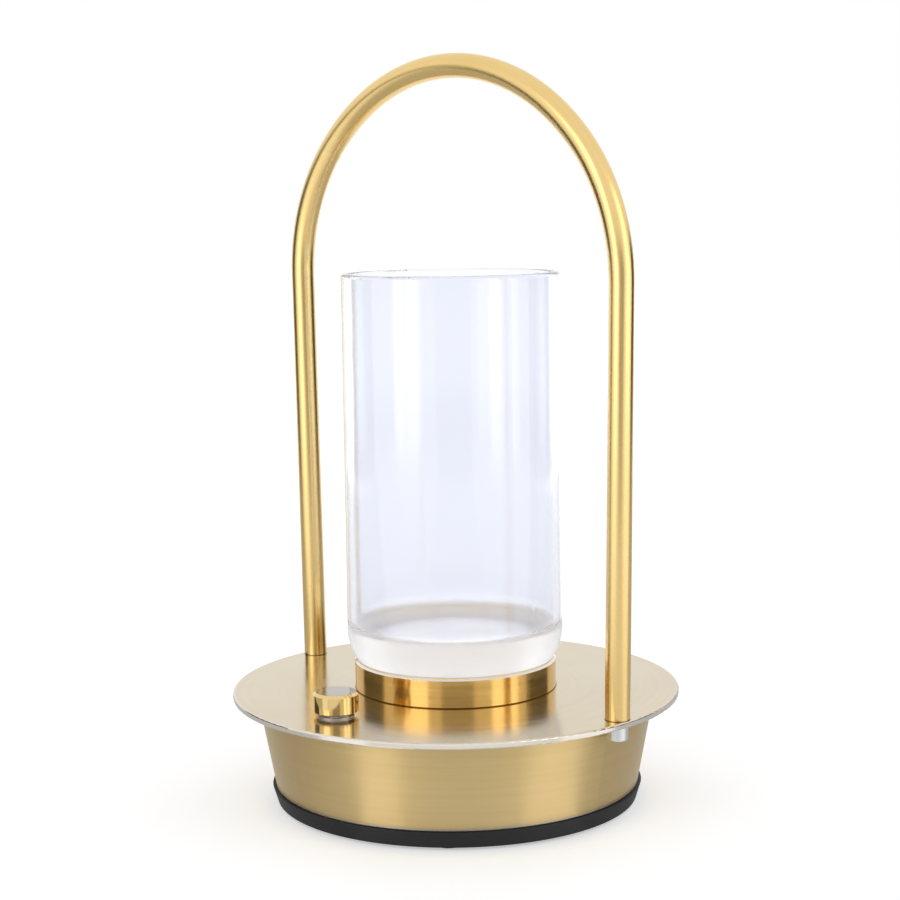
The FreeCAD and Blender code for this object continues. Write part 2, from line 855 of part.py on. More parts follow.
def make_charging_socket():
    back = socket_front - socket_length
    shell = oval_bar(socket_width, socket_height, back, socket_length, socket_centre_height)
    hollow = oval_bar(socket_width - 2 * socket_shell, socket_height - 2 * socket_shell, back + socket_shell,
                      socket_length, socket_centre_height)
    tongue_length = socket_length - socket_tongue_setback
    tongue = block(socket_tongue_width, tongue_length, socket_tongue_thickness, 0.0, back + tongue_length / 2,
                   socket_centre_height - socket_tongue_thickness / 2)
    return shell.cut(hollow).fuse(tongue)


def make_socket_bezel():
    def grown_drum(extra):
        return Part.makeCone(drum_bottom_radius + extra, drum_top_radius + extra, drum_height,
                             Vector(0, 0, drum_bottom), UP)

    body_width = socket_width + 2 * bezel_wall
    body_height = socket_height + 2 * bezel_wall
    reach = drum_bottom_radius
    body = oval_bar(body_width, body_height, socket_front, reach, socket_centre_height)
    rim = oval_bar(body_width + 2 * bezel_rim, body_height + 2 * bezel_rim, socket_front, reach,
                   socket_centre_height)
    rim = rim.cut(grown_drum(bond_gap))
    bezel = body.fuse(rim).common(grown_drum(bezel_proud)).removeSplitter()
    mouth = oval_bar(socket_width, socket_height, socket_front, reach, socket_centre_height)
    return bezel.cut(mouth)


# ---- leads inside the drum --------------------------------------------------------

def make_lead(name, route):
    """A round two-core lead along its route, checked against its length."""
    edges = routed_edges(route)
    lead = swept_tube(edges, lead_radius)
    length = sum(edge.Length for edge in edges)
    expected = math.pi * lead_radius ** 2 * length
    print(name, "length", round(length, 1), "mm, volume over section times length",
          round(lead.Volume / expected, 4))
    return lead


def make_led_lead():
    return make_lead("led_lead", [
        Vector(plug_x(0), wire_hole_offset, led_board_top + led_height),
        Vector(plug_x(0), wire_hole_offset, plug_centre_height),
        Vector(plug_x(0), plug_front, plug_centre_height),
    ])


def make_encoder_lead():
    start_y = -knob_offset + encoder_body_side / 2
    run_height = encoder_body_bottom + encoder_body_height / 2
    drop_y = wire_hole_offset
    return make_lead("encoder_lead", [
        Vector(0, start_y, run_height),
        Vector(0, start_y + encoder_body_side, run_height),
        Vector(plug_x(-1), battery_centre_y - battery_radius, run_height),
        Vector(plug_x(-1), drop_y, run_height),
        Vector(plug_x(-1), drop_y, plug_centre_height),
        Vector(plug_x(-1), plug_front, plug_centre_height),
    ])


def make_battery_lead():
    wall_x = holder_length / 2
    out_x = wall_x + lead_clearance
    cell_y = battery_ys()[1]
    return make_lead("battery_lead", [
        Vector(wall_x, cell_y, battery_axis_height),
        Vector(out_x, cell_y, battery_axis_height),
        Vector(out_x, wire_hole_offset, battery_axis_height),
        Vector(plug_x(1), wire_hole_offset, plug_centre_height),
        Vector(plug_x(1), plug_front, plug_centre_height),
    ])


# ---- one file for each node -----------------------------------------------------------

nodes = {
    "top_plate": make_top_plate,
    "plate_studs": make_plate_studs,
    "base_drum": make_base_drum,
    "stand_offs": make_stand_offs,
    "bottom_plate": make_bottom_plate,
    "bottom_screws": make_bottom_screws,
    "rubber_foot_ring": make_rubber_foot_ring,
    "foot_pads": make_foot_pads,
    "handle_tube": make_handle_tube,
    "handle_inserts": make_handle_inserts,
    "handle_screws": make_handle_screws,
    "glass_collar": make_glass_collar,
    "collar_screws": make_collar_screws,
    "led_board": make_led_board,
    "led_chips": make_led_chips,
    "led_board_screws": make_led_board_screws,
    "diffuser_disc": make_diffuser_disc,
    "glass_gasket": make_glass_gasket,
    "glass_cylinder": make_glass_cylinder,
    "wire_grommet": make_wire_grommet,
    "dimmer_knob": make_dimmer_knob,
    "encoder_shaft": make_encoder_shaft,
    "encoder_bushing": make_encoder_bushing,
    "encoder_body": make_encoder_body,
    "encoder_washer": make_encoder_washer,
    "encoder_nut": make_encoder_nut,
    "switch_plunger": make_switch_plunger,
    "switch_dome": make_switch_dome,
    "battery_holder": make_battery_holder,
    "battery_cells": make_battery_cells,
    "battery_contacts": make_battery_contacts,
    "holder_screws": make_holder_screws,
    "control_board": make_control_board,
    "board_spacers": make_board_spacers,
    "board_screws": make_board_screws,
    "driver_chip": make_driver_chip,
    "power_coil": make_power_coil,
    "lead_plugs": make_lead_plugs,
    "charging_socket": make_charging_socket,
    "socket_bezel": make_socket_bezel,
    "led_lead": make_led_lead,
    "encoder_lead": make_encoder_lead,
    "battery_lead": make_battery_lead,
}

os.makedirs("parts", exist_ok=True)
for name, make in nodes.items():
    shape = make()
    shape.exportStep("parts/" + name + ".step")
    box = shape.BoundBox
    print(name, len(shape.Solids), "solids, valid", shape.isValid(), "volume", round(shape.Volume, 1),
          "z", round(box.ZMin, 2), round(box.ZMax, 2))
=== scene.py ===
# %% [markdown]
# # Lantern table lamp
# A rechargeable lamp: a glass cylinder stands in a brass collar on a round
# plate, a tapered drum holds the battery, and a bent tube arches over the glass
# as the handle. The engineered model gives every metal, glass and rubber part
# at its true size. This lesson gives each of them the surface it has on the
# real lamp, then builds the little studio in which the lamp is photographed.

# %% Load the engineered model
import math

import bpy
from mathutils import Matrix, Vector


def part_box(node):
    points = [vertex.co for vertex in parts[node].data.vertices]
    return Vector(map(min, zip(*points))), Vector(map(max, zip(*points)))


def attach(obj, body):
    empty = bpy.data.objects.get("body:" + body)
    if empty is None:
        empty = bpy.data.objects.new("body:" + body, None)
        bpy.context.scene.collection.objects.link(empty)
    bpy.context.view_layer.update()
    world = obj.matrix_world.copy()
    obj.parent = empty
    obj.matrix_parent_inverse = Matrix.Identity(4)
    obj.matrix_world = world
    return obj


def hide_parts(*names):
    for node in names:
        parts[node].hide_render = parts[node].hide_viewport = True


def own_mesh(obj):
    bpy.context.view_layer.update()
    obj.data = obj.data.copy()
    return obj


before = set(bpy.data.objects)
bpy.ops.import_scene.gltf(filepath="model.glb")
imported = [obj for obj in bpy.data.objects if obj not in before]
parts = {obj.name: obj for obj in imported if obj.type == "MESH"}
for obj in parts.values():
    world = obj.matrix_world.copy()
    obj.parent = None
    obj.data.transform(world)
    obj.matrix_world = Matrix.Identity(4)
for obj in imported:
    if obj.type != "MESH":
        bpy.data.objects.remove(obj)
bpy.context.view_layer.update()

# %% [markdown]
# ## The camera
# The photograph was taken from a little above the plate, a good half metre
# away, with the right leg of the handle nearer to the lens. The heading is
# measured from the front of the lamp (-Y), where the dimmer knob is. The small
# turn, tilt and roll that were left over are added as they are, because they
# put the object where it stands in the picture, without any lens shift.

# %% Place the camera
camera_distance = 0.660
camera_height = 0.20136
camera_heading = math.radians(43.957)
camera_turn = math.radians(0.075)
camera_tilt = math.radians(-7.214)
camera_roll = math.radians(-0.802)
lens_length = 79.75
sensor_width = 36.0

bpy.ops.object.select_all(action="DESELECT")
bpy.ops.object.camera_add()
camera = bpy.context.object
camera.name = "photo_camera"
camera.data.lens = lens_length
camera.data.sensor_width = sensor_width
place = Matrix.Translation((camera_distance * math.sin(camera_heading),
                            -camera_distance * math.cos(camera_heading), camera_height))
turn = Matrix.Rotation(camera_heading + camera_turn, 4, "Z")
tilt = Matrix.Rotation(math.radians(90) + camera_tilt, 4, "X")
roll = Matrix.Rotation(camera_roll, 4, "Z")
camera.matrix_world = place @ turn @ tilt @ roll
bpy.context.scene.camera = camera
print("camera at", tuple(round(v, 3) for v in camera.location))

# %% [markdown]
# ## Helpers for the finishes
# Every finish is one Principled shader. What varies over the surface, such as
# brush lines or wear, comes from small node groups that are built once and put
# into each material with its own values. These helpers save typing: one makes
# a material, one makes a group, one adds a math node, one gives the finish to
# the parts of the engineered model.

# %% Make a material, a group and a math node
def new_finish(name):
    finish = bpy.data.materials.new(name)
    finish.use_nodes = True
    shader = finish.node_tree.nodes["Principled BSDF"]
    return finish, finish.node_tree, shader


def set_plain(shader, **values):
    for label, value in values.items():
        shader.inputs[label.replace("_", " ")].default_value = value


def new_effect(name, inputs, outputs):
    effect = bpy.data.node_groups.new(name, "ShaderNodeTree")
    for label, value in inputs:
        kind = "NodeSocketVector" if value is None else "NodeSocketFloat"
        socket = effect.interface.new_socket(label, in_out="INPUT", socket_type=kind)
        if value is not None:
            socket.default_value = value
    for label in outputs:
        effect.interface.new_socket(label, in_out="OUTPUT", socket_type="NodeSocketFloat")
    return effect, effect.nodes.new("NodeGroupInput"), effect.nodes.new("NodeGroupOutput")


def put(tree, socket, value):
    if isinstance(value, bpy.types.NodeSocket):
        tree.links.new(value, socket)
    else:
        socket.default_value = value


def math_of(tree, operation, first, second=0.0, third=0.0):
    node = tree.nodes.new("ShaderNodeMath")
    node.operation = operation
    put(tree, node.inputs[0], first)
    put(tree, node.inputs[1], second)
    put(tree, node.inputs[2], third)
    return node.outputs[0]


def noise_of(tree, vector, scale, detail=2.0, roughness=0.5):
    node = tree.nodes.new("ShaderNodeTexNoise")
    put(tree, node.inputs["Vector"], vector)
    node.inputs["Scale"].default_value = scale
    node.inputs["Detail"].default_value = detail
    node.inputs["Roughness"].default_value = roughness
    return node.outputs["Fac"]


def vector_of(tree, x, y, z):
    node = tree.nodes.new("ShaderNodeCombineXYZ")
    put(tree, node.inputs[0], x)
    put(tree, node.inputs[1], y)
    put(tree, node.inputs[2], z)
    return node.outputs[0]


def parts_of(tree, vector):
    node = tree.nodes.new("ShaderNodeSeparateXYZ")
    tree.links.new(vector, node.inputs[0])
    return node.outputs[0], node.outputs[1], node.outputs[2]


def range_of(tree, value, low, high, new_low, new_high):
    node = tree.nodes.new("ShaderNodeMapRange")
    for socket, given in zip(node.inputs, (value, low, high, new_low, new_high)):
        put(tree, socket, given)
    return node.outputs[0]


def mix_of(tree, share, first, second):
    node = tree.nodes.new("ShaderNodeMix")
    node.data_type = "RGBA"
    put(tree, node.inputs["Factor"], share)
    colours = [socket for socket in node.inputs if socket.type == "RGBA"]
    put(tree, colours[0], first)
    put(tree, colours[1], second)
    return [socket for socket in node.outputs if socket.type == "RGBA"][0]


def place_on(tree):
    return tree.nodes.new("ShaderNodeTexCoord").outputs["Object"]


def effect_of(tree, effect, **values):
    node = tree.nodes.new("ShaderNodeGroup")
    node.node_tree = effect
    for label, value in values.items():
        put(tree, node.inputs[label.replace("_", " ")], value)
    return node.outputs


def bump_of(tree, shader, height, distance, strength=1.0):
    node = tree.nodes.new("ShaderNodeBump")
    node.inputs["Strength"].default_value = strength
    node.inputs["Distance"].default_value = distance
    tree.links.new(height, node.inputs["Height"])
    tree.links.new(node.outputs["Normal"], shader.inputs["Normal"])


def give(finish, *names):
    for name in names:
        for slot in parts[name].material_slots:
            slot.material = finish
    print(finish.name, "->", ", ".join(names))


# %% [markdown]
# ## Brush lines on turned parts
# The plate, drum and collar are brushed while they spin, so the fine lines run
# round the axis. A texture stretched along X would show straight lines, which
# only a flat sheet has. Instead the point is written as its direction round the
# axis and its distance along the profile, and a noise is squeezed hard along
# the profile. The direction is kept as a circle and not as an angle, so the
# pattern closes without a seam.

# %% Brush lines round the axis
def make_turned_lines():
    effect, given, result = new_effect("turned_lines", [("Position", None), ("Fineness", 2500.0)],
                                       ["Lines", "Streaks", "Drift"])
    x, y, z = parts_of(effect, given.outputs["Position"])
    radius = math_of(effect, "SQRT", math_of(effect, "ADD", math_of(effect, "MULTIPLY", x, x),
                                             math_of(effect, "MULTIPLY", y, y)))
    safe_radius = math_of(effect, "MAXIMUM", radius, 0.0005)
    round_x = math_of(effect, "DIVIDE", x, safe_radius)
    round_y = math_of(effect, "DIVIDE", y, safe_radius)
    along = math_of(effect, "MULTIPLY", math_of(effect, "ADD", radius, z), given.outputs["Fineness"])
    fine = vector_of(effect, math_of(effect, "MULTIPLY", round_x, 3.0),
                     math_of(effect, "MULTIPLY", round_y, 3.0), along)
    coarse = vector_of(effect, math_of(effect, "MULTIPLY", round_x, 1.3),
                       math_of(effect, "MULTIPLY", round_y, 1.3), math_of(effect, "MULTIPLY", along, 0.22))
    effect.links.new(noise_of(effect, fine, 1.0, 3.0, 0.65), result.inputs["Lines"])
    effect.links.new(noise_of(effect, coarse, 1.0, 2.0), result.inputs["Streaks"])
    effect.links.new(noise_of(effect, given.outputs["Position"], 28.0, 2.0), result.inputs["Drift"])
    return effect


turned_lines = make_turned_lines()
print("effect", turned_lines.name)

# %% [markdown]
# ## Brush lines along the bent tube
# The handle is drawn through a belt, so its lines run along the tube, also
# round the arch. The arch is a shoulder arc, a crown arc and a second shoulder
# arc, with straight legs below. The group works out how far a point lies from
# the tube's centre line, sideways and in the plane of the arch, and from that
# the direction round the tube. Noise that is fine round the tube and slow along
# it gives the lines.

# %% Brush lines along the handle
shoulder_inset = 0.0076
shoulder_radius = 0.065
crown_drop = 0.0068
crown_radius = shoulder_radius + math.hypot(shoulder_inset, crown_drop)
tube_radius = 0.004
handle_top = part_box("handle_tube")[1].z
shoulder_height = handle_top - tube_radius - crown_radius + crown_drop
join_angle = math.atan2(crown_drop, shoulder_inset)


def make_tube_lines():
    effect, given, result = new_effect("tube_lines", [("Position", None), ("Fineness", 9.0)],
                                       ["Lines", "Streaks", "Drift"])
    x, y, z = parts_of(effect, given.outputs["Position"])
    out = math_of(effect, "SUBTRACT", math_of(effect, "ABSOLUTE", x), shoulder_inset)
    up = math_of(effect, "SUBTRACT", z, shoulder_height)
    up_only = math_of(effect, "MAXIMUM", up, 0.0)
    shoulder = math_of(effect, "SUBTRACT", math_of(effect, "SQRT", math_of(
        effect, "ADD", math_of(effect, "MULTIPLY", out, out), math_of(effect, "MULTIPLY", up_only, up_only))),
        shoulder_radius)
    crown_up = math_of(effect, "ADD", up, crown_drop)
    crown = math_of(effect, "SUBTRACT", math_of(effect, "SQRT", math_of(
        effect, "ADD", math_of(effect, "MULTIPLY", x, x), math_of(effect, "MULTIPLY", crown_up, crown_up))),
        crown_radius)
    in_crown = math_of(effect, "GREATER_THAN", math_of(
        effect, "SUBTRACT", math_of(effect, "MULTIPLY", up, math.cos(join_angle)),
        math_of(effect, "MULTIPLY", out, math.sin(join_angle))), 0.0)
    side = math_of(effect, "ADD", math_of(effect, "MULTIPLY", crown, in_crown),
                   math_of(effect, "MULTIPLY", shoulder, math_of(effect, "SUBTRACT", 1.0, in_crown)))
    off = math_of(effect, "MAXIMUM", math_of(effect, "SQRT", math_of(
        effect, "ADD", math_of(effect, "MULTIPLY", side, side), math_of(effect, "MULTIPLY", y, y))), 0.0002)
    round_side = math_of(effect, "DIVIDE", side, off)
    round_y = math_of(effect, "DIVIDE", y, off)
    along = math_of(effect, "ADD", math_of(effect, "MULTIPLY", z, 14.0), math_of(effect, "MULTIPLY", x, 14.0))
    fine = vector_of(effect, math_of(effect, "MULTIPLY", round_side, given.outputs["Fineness"]),
                     math_of(effect, "MULTIPLY", round_y, given.outputs["Fineness"]), along)
    effect.links.new(noise_of(effect, fine, 1.0, 4.0, 0.7), result.inputs["Lines"])
    effect.links.new(noise_of(effect, fine, 0.35, 2.0), result.inputs["Streaks"])
    effect.links.new(noise_of(effect, given.outputs["Position"], 30.0, 2.0), result.inputs["Drift"])
    return effect


tube_lines = make_tube_lines()
print("effect", tube_lines.name, "arch shoulders at", round(shoulder_height, 4), "m")

# %% [markdown]
# ## Worn rims with a painted highlight, and painted seam shade
# Edges are rubbed bright first, and the rims are also painted pale as a painted
# edge highlight. Where two parts meet, a dark line is painted in as painted
# shade. Both follow a circle on this lamp. Baked edge maps would need painted
# files, so one mask is worked out for both: how near a point lies to a given
# circle, made ragged by a noise where the metal is worn and left even in a seam.

# %% Mask near a ring
def make_near_ring():
    effect, given, result = new_effect("near_ring", [("Position", None), ("Centre", None), ("Radius", 0.07),
                                                     ("Width", 0.001), ("Raggedness", 0.9)], ["Mask"])
    moved = effect.nodes.new("ShaderNodeVectorMath")
    moved.operation = "SUBTRACT"
    effect.links.new(given.outputs["Position"], moved.inputs[0])
    effect.links.new(given.outputs["Centre"], moved.inputs[1])
    x, y, z = parts_of(effect, moved.outputs[0])
    radius = math_of(effect, "SQRT", math_of(effect, "ADD", math_of(effect, "MULTIPLY", x, x),
                                             math_of(effect, "MULTIPLY", y, y)))
    out = math_of(effect, "SUBTRACT", radius, given.outputs["Radius"])
    away = math_of(effect, "SQRT", math_of(effect, "ADD", math_of(effect, "MULTIPLY", out, out),
                                           math_of(effect, "MULTIPLY", z, z)))
    near = math_of(effect, "SUBTRACT", 1.0, math_of(effect, "DIVIDE", away, given.outputs["Width"]))
    spread = math_of(effect, "SUBTRACT", noise_of(effect, given.outputs["Position"], 420.0, 3.0), 0.5)
    ragged = math_of(effect, "ADD", near, math_of(effect, "MULTIPLY", spread, given.outputs["Raggedness"]))
    effect.links.new(range_of(effect, ragged, 0.0, 0.6, 0.0, 1.0), result.inputs["Mask"])
    return effect


near_ring = make_near_ring()
print("effect", near_ring.name)

# %% [markdown]
# ## Moulded and cast skins
# Rubber and plastic come out of a mould with a faint grain and small changes of
# sheen. One group gives the grain's height and a slow tone for both.

# %% Grain of moulded parts
def make_moulded_skin():
    effect, given, result = new_effect("moulded_skin", [("Position", None), ("Grain", 1400.0)],
                                       ["Height", "Tone"])
    scaled = effect.nodes.new("ShaderNodeVectorMath")
    scaled.operation = "SCALE"
    effect.links.new(given.outputs["Position"], scaled.inputs[0])
    effect.links.new(given.outputs["Grain"], scaled.inputs["Scale"])
    effect.links.new(noise_of(effect, scaled.outputs[0], 1.0, 3.0), result.inputs["Height"])
    effect.links.new(noise_of(effect, given.outputs["Position"], 60.0, 3.0), result.inputs["Tone"])
    return effect


moulded_skin = make_moulded_skin()
print("effect", moulded_skin.name)

# %% [markdown]
# ## Brass
# The metal parts are brass with a thin clear lacquer. Brass reflects red and
# green well and blue badly, which makes its reflections golden, while the
# lacquer adds a white reflection that grows at flat angles: that is partly why
# the plate looks champagne and the sides of the drum turn pale. The Coat
# sockets give the lacquer, and the collar has none. Each part also gets its own
# brass colour, set to how it looks in this light: the plate's paler, greyer
# colour paints in part of its pale sheen, and the darker drum and deeper collar
# paint in part of their shade. The colour drifts a little with the thickness of
# the lacquer, and the brush lines vary both height and roughness.
# Lines that run round a turned part stretch its reflections across the lines.
# Anisotropic gives that stretch, and a quarter turn sets its direction.

# %% Brushed brass
brass_bright = (0.86, 0.645, 0.30, 1.0)
brass_deep = (0.78, 0.56, 0.235, 1.0)
# Pale rim colour: partly rubbed wear, partly a painted edge highlight.
rubbed_edge_and_highlight = (0.82, 0.77, 0.69, 1.0)
# Painted shade: a dark brown line painted where two parts meet.
painted_seam_shade = (0.30, 0.19, 0.07, 1.0)


def brushed_brass(name, effect, fineness, rough_low, rough_high, line_height, coat, rings=(),
                  deep=brass_deep, bright=brass_bright):
    finish, tree, shader = new_finish(name)
    position = place_on(tree)
    brushed = effect_of(tree, effect, Position=position, Fineness=fineness)
    share = math_of(tree, "ADD", math_of(tree, "MULTIPLY", brushed["Streaks"], 0.5),
                    math_of(tree, "MULTIPLY", brushed["Drift"], 0.5))
    colour = mix_of(tree, range_of(tree, share, 0.3, 0.7, 0.0, 1.0), deep, bright)
    for centre, radius, width, raggedness, tint in rings:
        mask = effect_of(tree, near_ring, Position=position, Centre=centre, Radius=radius, Width=width,
                         Raggedness=raggedness)
        colour = mix_of(tree, mask["Mask"], colour, tint)
    tree.links.new(colour, shader.inputs["Base Color"])
    rough = range_of(tree, brushed["Streaks"], 0.25, 0.75, rough_low, rough_high)
    tree.links.new(rough, shader.inputs["Roughness"])
    set_plain(shader, Metallic=1.0, Coat_Weight=coat, Coat_Roughness=0.15, Coat_IOR=1.5)
    bump_of(tree, shader, brushed["Lines"], line_height, 0.6)
    return finish, shader


# %% Finish the plate, drum, collar and handle
plate_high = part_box("top_plate")[1]
drum_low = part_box("base_drum")[0]
collar_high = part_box("glass_collar")[1]
plate_top = plate_high.z
foot_offset = 0.0704
drum_foot_radius = 0.0612
across_lines = 0.25
# The collar and feet rings paint a thin dark line of contact shade on the plate, the collar and the handle.
collar_painted_shade = ((0.0, 0.0, plate_top), collar_high.x, 0.00036, 0.2, painted_seam_shade)
feet_painted_shade = [((side * foot_offset, 0.0, plate_top), tube_radius, 0.00034, 0.2, painted_seam_shade)
              for side in (-1, 1)]

# The plate's paler, greyer brass paints in part of its pale sheen.
plate_brass, plate_shader = brushed_brass(
    "plate_brass", turned_lines, 2600.0, 0.15, 0.20, 0.000008, 0.12,
    # Plate rim: rubbed wear and a painted edge highlight.
    rings=[((0.0, 0.0, plate_top - 0.001), plate_high.x, 0.0014, 0.5, rubbed_edge_and_highlight),
           collar_painted_shade] + feet_painted_shade,
    deep=(0.61, 0.515, 0.35, 1.0), bright=(0.67, 0.57, 0.395, 1.0))
set_plain(plate_shader, Anisotropic=0.3, Anisotropic_Rotation=across_lines)
give(plate_brass, "top_plate")

# The drum's darker brass paints in part of its shade.
drum_brass, drum_shader = brushed_brass(
    "drum_brass", turned_lines, 2600.0, 0.38, 0.44, 0.00001, 0.15,
    # Drum foot edge: rubbed wear and a painted highlight line.
    rings=[((0.0, 0.0, drum_low.z + 0.0004), drum_foot_radius, 0.0006, 0.4, rubbed_edge_and_highlight)],
    deep=(0.67, 0.49, 0.22, 1.0), bright=(0.74, 0.56, 0.27, 1.0))
set_plain(drum_shader, Anisotropic=0.8, Anisotropic_Rotation=across_lines)
give(drum_brass, "base_drum")

# The collar's deeper, darker brass paints in part of its shade.
collar_brass, collar_shader = brushed_brass(
    "collar_brass", turned_lines, 3200.0, 0.15, 0.22, 0.000004, 0.0,
    # Collar top edge: rubbed wear and a painted highlight line.
    rings=[((0.0, 0.0, collar_high.z - 0.0004), collar_high.x - 0.0004, 0.0007, 0.5, rubbed_edge_and_highlight),
           collar_painted_shade],
    deep=(0.74, 0.475, 0.155, 1.0), bright=(0.80, 0.54, 0.20, 1.0))
set_plain(collar_shader, Anisotropic=0.7, Anisotropic_Rotation=across_lines)
give(collar_brass, "glass_collar")

# The feet rings paint contact shade at the foot of each handle leg.
handle_brass = brushed_brass(
    "handle_brass", tube_lines, 9.0, 0.22, 0.3, 0.000008, 0.06, rings=feet_painted_shade,
    deep=(0.80, 0.57, 0.225, 1.0), bright=(0.87, 0.64, 0.28, 1.0))[0]
give(handle_brass, "handle_tube")

# %% [markdown]
# ## The polished knob
# The dimmer knob is turned and then polished on a wheel, so it mirrors the
# plate and the room almost cleanly, with only a trace of turning lines. A very
# low roughness alone would look like liquid, so faint lines stay in it. Its top
# face is given a greyer colour, a painted reflection that stands in for the
# dimmer things it mirrors, so the colour changes at the height of that face.

# %% Polished brass
knob_low, knob_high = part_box("dimmer_knob")
knob_centre = (knob_low + knob_high) / 2
knob_brass, knob_tree, knob_shader = new_finish("knob_brass")
knob_place = knob_tree.nodes.new("ShaderNodeMapping")
knob_place.inputs["Location"].default_value = (0.0, -knob_centre.y, 0.0)
knob_tree.links.new(place_on(knob_tree), knob_place.inputs["Vector"])
knob_lines = effect_of(knob_tree, turned_lines, Position=knob_place.outputs[0], Fineness=4200.0)
knob_side = mix_of(knob_tree, knob_lines["Drift"], brass_deep, brass_bright)
knob_height = parts_of(knob_tree, place_on(knob_tree))[2]
# Painted reflection: the top face is given a greyer colour.
painted_top_reflection = range_of(knob_tree, knob_height, knob_high.z - 0.00012, knob_high.z - 0.00004, 0.0, 1.0)
knob_tree.links.new(mix_of(knob_tree, painted_top_reflection, knob_side, (0.44, 0.385, 0.34, 1.0)),
                    knob_shader.inputs["Base Color"])
knob_tree.links.new(range_of(knob_tree, knob_lines["Streaks"], 0.3, 0.7, 0.07, 0.12),
                    knob_shader.inputs["Roughness"])
set_plain(knob_shader, Metallic=1.0)
bump_of(knob_tree, knob_shader, knob_lines["Lines"], 0.000002, 0.5)
give(knob_brass, "dimmer_knob")

# %% [markdown]
# ## The glass
# The cylinder is pressed glass with a thick foot and a fire-polished rim. It is
# clear with a cold cast, so light that crosses both walls comes out a little
# blue. Pressed glass is never quite even: a slow ripple in the normal bends
# what is seen through the wall, and a trace of haze softens it. The foot is
# etched, which hides the light board below and gives the milky look at the
# bottom. Etching is roughness that starts at a height, so one mask from the
# height drives it. The etched foot also gets a faint glow, painted light that
# brightens its milky look.

# %% Clear glass with an etched foot
clear_glass, glass_tree, glass_shader = new_finish("clear_glass")
glass_low, glass_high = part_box("glass_cylinder")
foot_top = glass_low.z + 0.0134
etch_fade = 0.005
wall_haze = 0.07
painted_foot_glow = 0.05
glass_place = glass_tree.nodes.new("ShaderNodeMapping")
glass_place.inputs["Scale"].default_value = (1.0, 1.0, 0.35)
glass_tree.links.new(place_on(glass_tree), glass_place.inputs["Vector"])
ripple = noise_of(glass_tree, glass_place.outputs[0], 55.0, 2.0)
height = parts_of(glass_tree, place_on(glass_tree))[2]
etched = range_of(glass_tree, height, foot_top, foot_top + etch_fade, 1.0, 0.0)
below_rim = range_of(glass_tree, height, glass_high.z - 0.012, glass_high.z - 0.004, 1.0, 0.0)
in_wall = math_of(glass_tree, "MULTIPLY", below_rim, math_of(glass_tree, "SUBTRACT", 1.0, etched))
etch_grain = noise_of(glass_tree, place_on(glass_tree), 90.0, 3.0)
etch_depth = range_of(glass_tree, etch_grain, 0.3, 0.7, 0.46, 0.56)
etch_haze = math_of(glass_tree, "MULTIPLY", etched, etch_depth)
glass_tree.links.new(math_of(glass_tree, "MAXIMUM", etch_haze, wall_haze), glass_shader.inputs["Roughness"])
glass_tree.links.new(mix_of(glass_tree, etched, (0.875, 0.888, 0.938, 1.0), (0.985, 0.985, 0.99, 1.0)),
                     glass_shader.inputs["Base Color"])
# Painted light: the etched foot glows faintly.
glass_tree.links.new(math_of(glass_tree, "MULTIPLY", etched, painted_foot_glow),
                     glass_shader.inputs["Emission Strength"])
set_plain(glass_shader, Metallic=0.0, IOR=1.5, Transmission_Weight=1.0, Emission_Color=(0.88, 0.94, 1.0, 1.0))
bump_of(glass_tree, glass_shader, math_of(glass_tree, "MULTIPLY", ripple, in_wall), 0.0006, 0.12)
give(clear_glass, "glass_cylinder")

# %% [markdown]
# ## Diffuser, gasket and light board
# Under the glass an opal disc spreads the light of the small lamps below. It is
# milky plastic: light enters it and comes out elsewhere, which Subsurface
# gives. The disc also glows as painted light, which stands in for the room
# light that reaches it through the glass. The gasket is clear silicone. The
# board is white-masked aluminium with yellow phosphor chips.

# %% Opal disc, silicone, board and chips
def skinned(name, colour, second, rough_low, rough_high, grain, height, **plain):
    finish, tree, shader = new_finish(name)
    skin = effect_of(tree, moulded_skin, Position=place_on(tree), Grain=grain)
    tone = range_of(tree, skin["Tone"], 0.3, 0.7, 0.0, 1.0)
    tree.links.new(mix_of(tree, tone, colour, second), shader.inputs["Base Color"])
    tree.links.new(range_of(tree, skin["Tone"], 0.3, 0.7, rough_low, rough_high), shader.inputs["Roughness"])
    bump_of(tree, shader, skin["Height"], height, 0.5)
    set_plain(shader, **plain)
    return finish


# The disc's emission is painted light for the room light that reaches it through the glass.
opal_painted_glow = skinned("opal_plastic", (0.90, 0.90, 0.91, 1.0), (0.93, 0.93, 0.93, 1.0), 0.35, 0.45, 900.0,
               0.00001, Subsurface_Weight=0.4, Subsurface_Scale=0.002,
               Emission_Color=(0.90, 0.95, 1.0, 1.0), Emission_Strength=0.95)
give(opal_painted_glow, "diffuser_disc")
silicone = skinned("clear_silicone", (0.90, 0.91, 0.92, 1.0), (0.93, 0.94, 0.95, 1.0), 0.4, 0.5, 1200.0,
                   0.00001, Subsurface_Weight=0.5, Subsurface_Scale=0.001)
give(silicone, "glass_gasket")
white_mask = skinned("white_board_mask", (0.82, 0.82, 0.80, 1.0), (0.87, 0.87, 0.86, 1.0), 0.3, 0.4, 2500.0,
                     0.000006)
give(white_mask, "led_board")
phosphor = skinned("phosphor", (0.86, 0.68, 0.12, 1.0), (0.90, 0.74, 0.2, 1.0), 0.35, 0.5, 5000.0, 0.00001)
give(phosphor, "led_chips")

# %% [markdown]
# ## Rubber
# The base ring, its foot pads and the lead grommet are black rubber. Rubber is
# not black in daylight but a dull charcoal, a little lighter where it is
# dusty, with a broad soft sheen.

# %% Black rubber
rubber = skinned("black_rubber", (0.010, 0.010, 0.011, 1.0), (0.018, 0.018, 0.019, 1.0), 0.5, 0.68, 1500.0,
                 0.00004, Specular_IOR_Level=0.35)
give(rubber, "rubber_foot_ring", "foot_pads", "wire_grommet")

